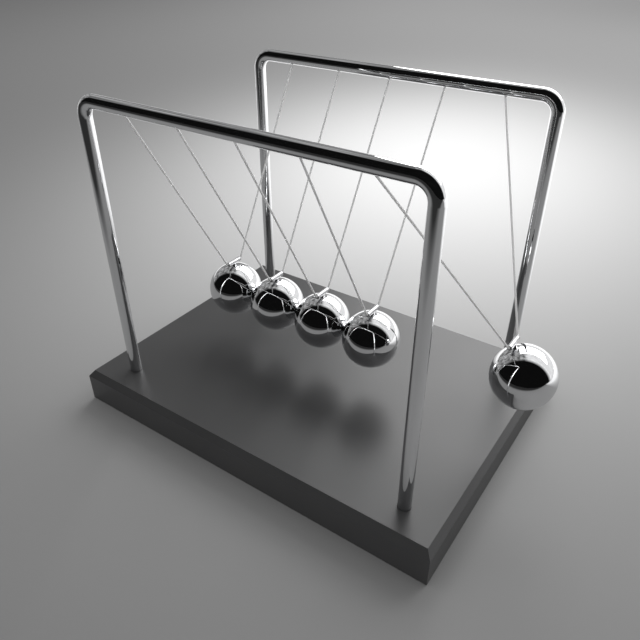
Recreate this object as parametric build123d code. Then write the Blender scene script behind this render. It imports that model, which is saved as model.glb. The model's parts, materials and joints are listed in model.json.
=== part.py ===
from build123d import *
from math import atan2, cos, degrees, radians, sin, sqrt
import os

# Newton's cradle: a dark board carries two bent tube frames, and five steel balls hang between
# them on V-shaped lines. Millimetres, +Z up. The origin is the centre of the underside, X runs
# along the row of balls and -Y is the front.

# Base board
base_length = 155.5
base_width = 113.6
base_height = 14.3            # table to the top face
chamfer_inset = 2.0           # how far the bevel round the top edge comes in
chamfer_drop = 2.6            # how far it comes down
felt_thickness = 1.1
felt_proud = 0.3              # the felt keeps the board this far off the table
felt_margin = 3.0             # board left round the felt
felt_corner_radius = 3.0

# Tube frames
post_spacing_x = 124.7
post_spacing_y = 89.1
tube_diameter = 4.6
tube_wall = 0.6
rail_height = 122.6           # table to the centre of the rails
bend_radius = 5.8             # at the centre of the tube
post_seat_depth = 8.0         # length of post sunk in the board
seat_clearance = 0.05

# Fasteners under the board
screw_diameter = 2.0
screw_grip = 5.5              # length of thread in the plug
screw_head_diameter = 4.0
screw_head_height = 1.4
screw_slot_width = 0.5
screw_slot_depth = 0.6
screw_hole_clearance = 0.2
thread_clearance = 0.03
washer_diameter = 6.0
washer_thickness = 0.4
counterbore_diameter = 7.0
counterbore_web = 2.2         # board left between a post and its washer
plug_length = 7.0

# Balls and what hangs them
ball_count = 5
ball_diameter = 22.0
ball_gap = 0.3                # air between neighbours that hang straight down
ball_centre_height = 37.5
lifted_ball = 5
lift_angle = 25.1             # degrees from straight down
stud_diameter = 1.6
stud_depth = 4.0              # length screwed into the ball
eyelet_diameter = 1.8
eyelet_bore = 1.0
eyelet_length = 7.0
eyelet_rise = 1.5             # ball's top to the eyelet's axis

# Lines
line_diameter = 0.7
line_bore_gap = 0.02          # between the line and the top of the eyelet's bore
line_bend_radius = 0.6
line_bend_out = 0.5           # the line turns this far outside the eyelet
line_end_gap = 0.08           # between a line's swinging end and what it hangs from
line_hole_diameter = 1.0
knot_diameter = 1.6
knot_tail = 0.5

# Worked out from the sizes above
front, back = -1, 1           # the two sides in Y
tube_radius = tube_diameter / 2
tube_bore_radius = tube_radius - tube_wall
line_radius = line_diameter / 2
board_height = base_height - felt_proud
felt_recess_depth = felt_thickness - felt_proud
seat_floor = base_height - post_seat_depth
counterbore_top = seat_floor - counterbore_web
ball_pitch = ball_diameter + ball_gap
ball_top = ball_centre_height + ball_diameter / 2
eyelet_height = ball_top + eyelet_rise
rail_reach = post_spacing_y / 2
line_low_reach = eyelet_length / 2 + line_bend_out
line_low_height = eyelet_height + eyelet_bore / 2 - line_radius - line_bore_gap
line_lean = degrees(atan2(rail_reach - line_low_reach, rail_height - line_low_height))
pivot_drop = tube_radius + line_end_gap + line_radius        # rail's centre to the pivot, along the line
pivot_reach = rail_reach - pivot_drop * sin(radians(line_lean))
pivot_height = rail_height - pivot_drop * cos(radians(line_lean))
post_places = [(x * post_spacing_x / 2, y * post_spacing_y / 2) for x in (-1, 1) for y in (-1, 1)]
ball_places = [(number - (ball_count - 1) / 2) * ball_pitch for number in range(ball_count)]


def upright(radius, bottom, top, x=0.0, y=0.0):
    """A cylinder along Z between two heights."""
    return Pos(x, y, bottom) * Cylinder(radius, top - bottom, align=(Align.CENTER, Align.CENTER, Align.MIN))


def in_rail(side, x, shape):
    """Place a shape made along Z about a rail's centre so that its -Z points down the line."""
    return Pos(x, side * rail_reach, rail_height) * Rot(-side * line_lean, 0, 0) * shape


def base_board():
    """A board with a bevelled top edge, post seats above and screw wells below."""
    edge_height = board_height - chamfer_drop
    bevel_angle = degrees(atan2(chamfer_inset, chamfer_drop))
    outline = Rectangle(base_length, base_width)
    board = extrude(Pos(0, 0, felt_proud) * outline, edge_height)
    board += extrude(Pos(0, 0, base_height - chamfer_drop) * outline, chamfer_drop, taper=bevel_angle)
    board -= extrude(Pos(0, 0, felt_proud) * felt_outline(), felt_recess_depth)
    for x, y in post_places:
        board -= upright(tube_radius + seat_clearance, seat_floor, base_height, x, y)
        board -= upright(counterbore_diameter / 2, felt_proud, counterbore_top, x, y)
        board -= upright(screw_diameter / 2 + screw_hole_clearance, felt_proud, base_height, x, y)
    return board


def felt_outline():
    """The felt and the recess that it is glued in share one outline."""
    length = base_length - 2 * felt_margin
    width = base_width - 2 * felt_margin
    return RectangleRounded(length, width, felt_corner_radius)


def felt_underlay():
    """The sheet that the board stands on."""
    return extrude(felt_outline(), felt_thickness)


def tube_frame(side):
    """One tube bent into an upside-down U, with a slanted hole for each line in the rail."""
    y = side * rail_reach
    half = post_spacing_x / 2
    corners = [(-half, y, seat_floor), (-half, y, rail_height), (half, y, rail_height), (half, y, seat_floor)]
    path = FilletPolyline(*corners, radius=bend_radius)
    section = Circle(tube_radius) - Circle(tube_bore_radius)
    frame = sweep(Pos(-half, y, seat_floor) * section, path=path)
    hole = upright(line_hole_diameter / 2, -tube_diameter, 0)
    for x in ball_places:
        frame -= in_rail(side, x, hole)
    return frame


def frame_plugs():
    """Threaded plugs pressed into the lower ends of the posts."""
    plug = upright(tube_bore_radius, 0, plug_length) - upright(screw_diameter / 2, 0, plug_length)
    return [Pos(x, y, seat_floor) * plug for x, y in post_places]


def frame_washers():
    """Flat washers at the top of the screw wells."""
    hole_radius = screw_diameter / 2 + screw_hole_clearance
    washer = upright(washer_diameter / 2, 0, washer_thickness) - upright(hole_radius, 0, washer_thickness)
    return [Pos(x, y, counterbore_top - washer_thickness) * washer for x, y in post_places]


def frame_screws():
    """Pan-head screws that pull the posts down into their seats."""
    seat = counterbore_top - washer_thickness
    head_bottom = seat - screw_head_height
    shank = upright(screw_diameter / 2 - thread_clearance, seat, seat_floor + screw_grip)
    head = upright(screw_head_diameter / 2, head_bottom, seat)
    low_edges = head.edges().filter_by(GeomType.CIRCLE).group_by(Axis.Z)[0]
    head = fillet(low_edges, screw_head_height / 3)
    slot_size = (screw_head_diameter, screw_slot_width, screw_slot_depth)
    slot = Pos(0, 0, head_bottom) * Box(*slot_size, align=(Align.CENTER, Align.CENTER, Align.MIN))
    screw = head + shank - slot
    return [Pos(x, y, 0) * screw for x, y in post_places]


def line_knots(side):
    """The fixed line ends in one rail: a knot on each hole, its tail, and the line in the hole."""
    hole_radius = line_hole_diameter / 2
    knot_radius = knot_diameter / 2
    hole_edge = sqrt(tube_bore_radius ** 2 - hole_radius ** 2)
    knot_sink = sqrt(knot_radius ** 2 - hole_radius ** 2)
    knot_height = knot_sink - hole_edge
    knot = Pos(0, 0, knot_height) * Sphere(knot_radius)
    knot += upright(line_radius, -tube_radius, knot_height + knot_radius + knot_tail)
    return [in_rail(side, x, knot) for x in ball_places]


def ball():
    """A polished ball with a blind hole at the top for its stud."""
    body = Pos(0, 0, ball_centre_height) * Sphere(ball_diameter / 2)
    return body - upright(stud_diameter / 2, ball_top - stud_depth, ball_top + eyelet_rise)


def eyelet():
    """A short cross tube, lying front to back above the ball, that the line runs through."""
    tube = Cylinder(eyelet_diameter / 2, eyelet_length) - Cylinder(eyelet_bore / 2, eyelet_length)
    return Pos(0, 0, eyelet_height) * Rot(90, 0, 0) * tube


def stud():
    """The stem between the ball and the eyelet, coped to the eyelet's underside."""
    stem = upright(stud_diameter / 2, ball_top - stud_depth, eyelet_height)
    saddle = Pos(0, 0, eyelet_height) * Rot(90, 0, 0) * Cylinder(eyelet_diameter / 2, eyelet_length)
    return stem - saddle


def line():
    """One line: down from the front rail, through the eyelet and up to the back rail."""
    points = [(0, -pivot_reach, pivot_height), (0, -line_low_reach, line_low_height)]
    points += [(0, line_low_reach, line_low_height), (0, pivot_reach, pivot_height)]
    path = FilletPolyline(*points, radius=line_bend_radius)
    start = Plane(origin=path @ 0, z_dir=path % 0)
    length = sweep(start * Circle(line_radius), path=path)
    for place in (points[0], points[-1]):
        length += Pos(*place) * Sphere(line_radius)    # the round end turns in place under the rail
    return length


def swung(shape, number, x):
    """Hang a shape at its place in the row; the lifted ball's shapes turn about their pivot."""
    angle = lift_angle if number == lifted_ball else 0.0
    return Pos(x, 0, pivot_height) * Rot(0, -angle, 0) * Pos(0, 0, -pivot_height) * shape


def save(name, shape):
    """Write one node; a list of solids becomes one group."""
    solids = shape if isinstance(shape, list) else shape.solids()
    whole = Compound(children=[solid.solid() for solid in solids]) if len(solids) > 1 else solids[0]
    export_step(whole, f"parts/{name}.step")


os.makedirs("parts", exist_ok=True)
save("base_board", base_board())
save("felt_underlay", felt_underlay())
save("front_frame", tube_frame(front))
save("back_frame", tube_frame(back))
save("frame_plugs", frame_plugs())
save("frame_washers", frame_washers())
save("frame_screws", frame_screws())
save("front_line_knots", line_knots(front))
save("back_line_knots", line_knots(back))

hanging = {"": ball(), "_stud": stud(), "_eyelet": eyelet(), "_line": line()}
for number, x in enumerate(ball_places, start=1):
    for ending, shape in hanging.items():
        save(f"ball_{number}{ending}", swung(shape, number, x))
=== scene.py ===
# Newton's cradle: finishes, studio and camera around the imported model. Metres, +Z up, -Y is the front.
import json
import math

import bpy
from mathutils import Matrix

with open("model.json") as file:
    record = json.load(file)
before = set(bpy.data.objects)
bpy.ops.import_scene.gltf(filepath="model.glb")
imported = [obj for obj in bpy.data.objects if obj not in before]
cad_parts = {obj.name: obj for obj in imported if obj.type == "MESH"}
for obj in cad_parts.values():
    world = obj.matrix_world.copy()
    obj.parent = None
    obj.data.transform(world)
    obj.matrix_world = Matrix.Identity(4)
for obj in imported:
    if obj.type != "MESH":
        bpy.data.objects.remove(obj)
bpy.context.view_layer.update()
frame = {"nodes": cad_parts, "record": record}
print("frame loaded:", len(frame["nodes"]), "nodes")


# a socket that can be used in arithmetic: each operator adds the Math node it says
class Wire:
    def __init__(self, tree, socket):
        self.tree = tree
        self.socket = socket

    def math(self, operation, first, second):
        return self.tree.node("ShaderNodeMath", {"operation": operation}, {0: first, 1: second})

    def __add__(self, other):
        return self.math("ADD", self, other)

    def __sub__(self, other):
        return self.math("SUBTRACT", self, other)

    def __rsub__(self, other):
        return self.math("SUBTRACT", other, self)

    def __mul__(self, other):
        return self.math("MULTIPLY", self, other)

    def __truediv__(self, other):
        return self.math("DIVIDE", self, other)

    def __rtruediv__(self, other):
        return self.math("DIVIDE", other, self)

    def __rpow__(self, other):
        return self.math("POWER", other, self)

    __radd__ = __add__
    __rmul__ = __mul__

    def clamped(self):
        return self.tree.node("ShaderNodeClamp", {}, {"Value": self})

    # another output of the node that this one comes from
    def sibling(self, name):
        return Wire(self.tree, self.socket.node.outputs[name])


class Tree:
    def __init__(self, owner):
        owner.use_nodes = True
        self.nodes = owner.node_tree.nodes
        self.links = owner.node_tree.links
        self.nodes.clear()

    # makes a node, its settings first and then its sockets, and gives back one of its outputs
    def node(self, kind, settings, inputs, output=0):
        made = self.nodes.new(kind)
        for name, value in settings.items():
            setattr(made, name, value)
        for name, value in inputs.items():
            if isinstance(value, Wire):
                self.links.new(value.socket, made.inputs[name])
            else:
                made.inputs[name].default_value = value
        return Wire(self, made.outputs[output])

    def place(self):
        return self.node("ShaderNodeTexCoord", {}, {}, "Object")

    def stretched(self, vector, scale):
        return self.node("ShaderNodeMapping", {}, {"Vector": vector, "Scale": scale})

    def noise(self, vector, scale, detail, roughness=0.5):
        inputs = {"Vector": vector, "Scale": scale, "Detail": detail, "Roughness": roughness}
        return self.node("ShaderNodeTexNoise", {}, inputs)

    def dot(self, vector, fixed):
        return self.node("ShaderNodeVectorMath", {"operation": "DOT_PRODUCT"}, {0: vector, 1: fixed}, "Value")

    # the Mix node keeps its colour sockets after the ones for numbers and vectors
    def mixColour(self, factor, first, second):
        factorSocket, firstColour, secondColour, colourOut = 0, 6, 7, 2
        inputs = {factorSocket: factor, firstColour: first, secondColour: second}
        return self.node("ShaderNodeMix", {"data_type": "RGBA"}, inputs, colourOut)

    def greyColour(self, level):
        return self.node("ShaderNodeCombineColor", {}, {"Red": level, "Green": level, "Blue": level})

    def bump(self, height, distance, strength=1.0):
        return self.node("ShaderNodeBump", {}, {"Height": height, "Distance": distance, "Strength": strength})

    def principled(self, inputs):
        return self.node("ShaderNodeBsdfPrincipled", {}, inputs)

    def finish(self, shader, kind="ShaderNodeOutputMaterial"):
        made = self.nodes.new(kind)
        self.links.new(shader.socket, made.inputs["Surface"])


def grey(level):
    return (level, level, level, 1.0)


def darker(colour, share):
    return tuple(share * value for value in colour[:3]) + (1.0,)


def material(name):
    made = bpy.data.materials.new(name)
    return made, Tree(made)


# polished plate: nearly a mirror, with a soft handling haze and fine hairlines
chrome = {
    "tint": (0.86, 0.865, 0.875, 1.0),
    "hazeScale": 90.0,
    "hairStretch": (1, 1, 14),
    "tube": {"roughness": 0.035, "haze": 0.05, "hairScale": 260.0},
    "ball": {"roughness": 0.02, "haze": 0.03, "hairScale": 420.0},
}


def chromeFinish(name, polish):
    made, tree = material(name)
    place = tree.place()
    cloud = tree.noise(place, chrome["hazeScale"], 4.0)
    hair = tree.noise(tree.stretched(place, chrome["hairStretch"]), polish["hairScale"], 2.0)
    rough = polish["roughness"] + polish["haze"] * (cloud - 0.5).clamped() + 0.02 * (hair - 0.55).clamped()
    colour = tree.mixColour(cloud, chrome["tint"], darker(chrome["tint"], 0.94))
    tree.finish(tree.principled({"Base Color": colour, "Metallic": 1.0, "Roughness": rough}))
    return made


# satin black coat of the board
lacquer = {
    "dark": (0.050, 0.050, 0.051, 1.0),
    "light": (0.062, 0.062, 0.063, 1.0),
    "roughness": 0.34,
    "cloudScale": 30.0,
    "peelScale": 1400.0,         # orange peel of the sprayed coat
    "dustScale": 5200.0,
    "peelDepth": 0.00001,
}


def lacquerFinish():
    made, tree = material("black_lacquer")
    place = tree.place()
    cloud = tree.noise(place, lacquer["cloudScale"], 5.0)
    peel = tree.noise(place, lacquer["peelScale"], 2.0)
    dust = tree.noise(place, lacquer["dustScale"], 2.0)
    tree.finish(tree.principled({
        "Base Color": tree.mixColour(cloud, lacquer["dark"], lacquer["light"]),
        "Roughness": lacquer["roughness"] + 0.10 * (cloud - 0.5) + 0.05 * (dust - 0.5),
        "Normal": tree.bump(peel * 0.6 + dust * 0.4, lacquer["peelDepth"], 0.5),
        "IOR": 1.5,
        "Specular IOR Level": 0.42,
    }))
    return made


# short felt under the board
felt = {
    "deep": (0.012, 0.012, 0.013, 1.0),
    "tips": (0.05, 0.05, 0.052, 1.0),
    "fibreScale": 3000.0,
    "mattScale": 250.0,
    "nap": 0.0002,
}


def feltFinish():
    made, tree = material("dark_felt")
    place = tree.place()
    fibre = tree.noise(place, felt["fibreScale"], 6.0, 0.7)
    matt = tree.noise(place, felt["mattScale"], 4.0)
    tree.finish(tree.principled({
        "Base Color": tree.mixColour(fibre, felt["deep"], felt["tips"]),
        "Roughness": 0.95,
        "Normal": tree.bump(fibre * 0.7 + matt * 0.3, felt["nap"]),
        "Sheen Weight": 0.3,
    }))
    return made


# clear line, milky from its fine surface
nylon = {"dark": grey(0.90), "light": grey(0.96), "cloudScale": 700.0, "roughness": 0.28, "clearness": 0.3}


def nylonFinish():
    made, tree = material("nylon_line")
    cloud = tree.noise(tree.place(), nylon["cloudScale"], 2.0)
    tree.finish(tree.principled({
        "Base Color": tree.mixColour(cloud, nylon["dark"], nylon["light"]),
        "Roughness": nylon["roughness"] + 0.08 * cloud,
        "IOR": 1.53,
        "Transmission Weight": nylon["clearness"],
    }))
    return made


# small metal parts with the marks of the lathe round them
turned = {
    "brass": (0.72, 0.52, 0.25, 1.0),
    "zinc": (0.50, 0.50, 0.51, 1.0),
    "nickel": (0.46, 0.46, 0.47, 1.0),
    "ringStretch": (1, 1, 30),
    "ringScale": 900.0,
    "ringDepth": 0.00002,
    "cloudScale": 500.0,
    "roughness": 0.25,
}


def turnedFinish(name, tint):
    made, tree = material(name)
    place = tree.place()
    ring = tree.noise(tree.stretched(place, turned["ringStretch"]), turned["ringScale"], 2.0)
    cloud = tree.noise(place, turned["cloudScale"], 3.0)
    tree.finish(tree.principled({
        "Base Color": tree.mixColour(cloud, tint, darker(tint, 0.8)),
        "Metallic": 1.0,
        "Roughness": turned["roughness"] + 0.15 * ring,
        "Normal": tree.bump(ring, turned["ringDepth"]),
    }))
    return made


finishOf = {
    "black_board": lacquerFinish(),
    "felt": feltFinish(),
    "chrome_tube": chromeFinish("frame_chrome", chrome["tube"]),
    "chrome_ball": chromeFinish("ball_chrome", chrome["ball"]),
    "brass_plug": turnedFinish("turned_brass", turned["brass"]),
    "steel_fastener": turnedFinish("zinc_steel", turned["zinc"]),
    "nylon_line": nylonFinish(),
}
eyeletNickel = turnedFinish("nickel_eyelet", turned["nickel"])
print("finishes made")

for part in frame["record"]["subparts"]:
    mesh = frame["nodes"][part["node"]].data
    mesh.materials.clear()
    isEyelet = part["node"].endswith("eyelet")
    mesh.materials.append(eyeletNickel if isEyelet else finishOf[part["material_slot"]])
print("finishes put on the nodes")


# pale floor with a painted pool of light behind the model; places are metres on the floor
floorLook = {
    "size": 12.0,
    "far": 0.180,                # grey away from the pool
    "poolLight": 0.535,               # painted light added at the middle of the pool
    "poolCentre": (-0.078, 0.250),
    "poolRadii": (0.250, 0.194),
    "poolTurn": 109.0,           # degrees from +X to the pool's long way
    "shade": 0.075,              # painted shade taken off far behind, under the panel
    "shadeCentre": (0.05, 1.45),
    "shadeRadius": 0.60,
    "mirroredFar": 0.03,         # painted reflection of the floor: what polished faces see of it well in front of the model, dark as painted shade
    "mirroredFoot": 0.22,        # more of it behind this line,
    "footLine": -0.30,
    "mirroredBack": 0.65,        # and more again behind this one, pale as painted light
    "backLine": 0.06,
}


# a spot that fades outwards: e to the power minus the sum of both distances squared, each over its radius
def softSpot(along, across, radii):
    along, across = along / radii[0], across / radii[1]
    return math.e ** ((along * along + across * across) * -1.0)


def floorFinish():
    made, tree = material("floor_grey")
    x = tree.node("ShaderNodeSeparateXYZ", {}, {0: tree.place()}, "X")
    y = x.sibling("Y")
    turn = math.radians(floorLook["poolTurn"])
    fromPoolX, fromPoolY = x - floorLook["poolCentre"][0], y - floorLook["poolCentre"][1]
    longWay = fromPoolX * math.cos(turn) + fromPoolY * math.sin(turn)
    shortWay = fromPoolY * math.cos(turn) - fromPoolX * math.sin(turn)
    # painted pool of light: the floor is lighter towards the pool's middle
    pool = softSpot(longWay, shortWay, floorLook["poolRadii"])
    # painted shade: the floor is darker far behind, under the panel
    shadeRadii = (floorLook["shadeRadius"], floorLook["shadeRadius"])
    shade = softSpot(x - floorLook["shadeCentre"][0], y - floorLook["shadeCentre"][1], shadeRadii)
    level = (floorLook["far"] + floorLook["poolLight"] * pool - floorLook["shade"] * shade).clamped()
    # painted reflection: in reflections the floor is pale behind the model as painted light, and dark well in
    # front and beside it as painted shade, fading over 125 and 100 mm
    foot = floorLook["mirroredFoot"] * ((y - floorLook["footLine"]) / 0.125).clamped()
    back = floorLook["mirroredBack"] * ((y - floorLook["backLine"]) / 0.1).clamped()
    glossy = tree.node("ShaderNodeLightPath", {}, {}, "Is Glossy Ray")
    # painted light and shade that only reflections see
    paintedReflection = foot + back + floorLook["mirroredFar"]
    colour = tree.mixColour(glossy, tree.greyColour(level), tree.greyColour(paintedReflection))
    tree.finish(tree.principled({"Base Color": colour, "Roughness": 0.9, "Specular IOR Level": 0.1}))
    return made


def makeFloor():
    half = floorLook["size"] / 2
    mesh = bpy.data.meshes.new("floor")
    corners = [(-half, -half, 0), (half, -half, 0), (half, half, 0), (-half, half, 0)]
    mesh.from_pydata(corners, [], [(0, 1, 2, 3)])
    mesh.materials.append(floorFinish())
    floor = bpy.data.objects.new("floor", mesh)
    bpy.context.scene.collection.objects.link(floor)


# overhead panel, placed by its front left corner
panelLook = {"level": 4.4, "corner": (-0.305, 0.35, 0.80), "width": 1.6, "depth": 1.4, "turn": 25.0}


def makePanel():
    width, depth = panelLook["width"], panelLook["depth"]
    turn = math.radians(panelLook["turn"])
    lamp = bpy.data.lights.new("overhead_panel", "AREA")
    lamp.shape = "RECTANGLE"
    lamp.size = width
    lamp.size_y = depth
    lamp.energy = panelLook["level"] * math.pi * width * depth
    panel = bpy.data.objects.new("overhead_panel", lamp)
    cornerX, cornerY, height = panelLook["corner"]
    middleX = cornerX + (width * math.cos(turn) - depth * math.sin(turn)) / 2
    middleY = cornerY + (width * math.sin(turn) + depth * math.cos(turn)) / 2
    panel.location = (middleX, middleY, height)
    panel.rotation_euler = (0, 0, turn)
    bpy.context.scene.collection.objects.link(panel)


# soft light from all round, and the room that polished faces see
roomLook = {
    "fill": 0.60,
    "background": 0.180,         # as the far floor
    "frontTurn": 16.0,           # the pale half of the room starts along this line, degrees from +X
    "left": 0.50,                # patches behind and to the left
    "leftDark": 0.11,            # between them
    "right": 1.0,                # behind and to the right
    "black": 0.004,
    "patchScale": 7.0,
}


def makeRoom():
    world = bpy.data.worlds.new("studio")
    bpy.context.scene.world = world
    tree = Tree(world)
    toward = tree.node("ShaderNodeTexCoord", {}, {}, "Generated")     # the direction looked in
    front, side = math.radians(roomLook["frontTurn"]), math.radians(panelLook["turn"])
    # how far a direction is past the front line and past the side line, each faded over a few degrees
    toBack = (tree.dot(toward, (-math.sin(front), math.cos(front), 0)) * 6.0 + 0.1).clamped()
    toRight = (tree.dot(toward, (math.cos(side), math.sin(side), 0)) * 5.0 + 0.5).clamped()
    patches = ((tree.noise(toward, roomLook["patchScale"], 3.0, 0.6) - 0.38) * 3.0).clamped()
    left = roomLook["left"] * patches + roomLook["leftDark"]
    right = roomLook["right"] * (0.8 + 0.2 * patches)
    room = toBack * (left + (right - left) * toRight) + roomLook["black"]
    fill = tree.node("ShaderNodeBackground", {}, {"Color": grey(1.0), "Strength": roomLook["fill"]})
    around = tree.node("ShaderNodeBackground", {}, {"Color": tree.greyColour(room), "Strength": 1.0})
    pale = tree.node("ShaderNodeBackground", {}, {"Color": grey(roomLook["background"]), "Strength": 1.0})
    cameraRay = tree.node("ShaderNodeLightPath", {}, {}, "Is Camera Ray")
    seen = tree.node("ShaderNodeMixShader", {}, {0: cameraRay.sibling("Is Glossy Ray"), 1: fill, 2: around})
    final = tree.node("ShaderNodeMixShader", {}, {0: cameraRay, 1: seen, 2: pale})
    tree.finish(final, "ShaderNodeOutputWorld")


makeFloor()
makeRoom()
makePanel()
print("studio made")

# angles in radians: turned left from looking along +Y, and tilted down from level
view = {"place": (0.1167, -0.1706, 0.1739), "turnLeft": 0.6042, "tiltDown": 0.583, "lens": 35.352}


def makeCamera():
    camera = bpy.data.cameras.new("camera")
    camera.lens = view["lens"]
    camera.sensor_width = 36.0
    camera.clip_start = 0.01
    cameraObject = bpy.data.objects.new("camera", camera)
    cameraObject.location = view["place"]
    cameraObject.rotation_euler = (math.pi / 2 - view["tiltDown"], 0, view["turnLeft"])
    bpy.context.scene.collection.objects.link(cameraObject)
    bpy.context.scene.camera = cameraObject


makeCamera()
bpy.context.scene.view_settings.view_transform = "Standard"
print("camera placed")
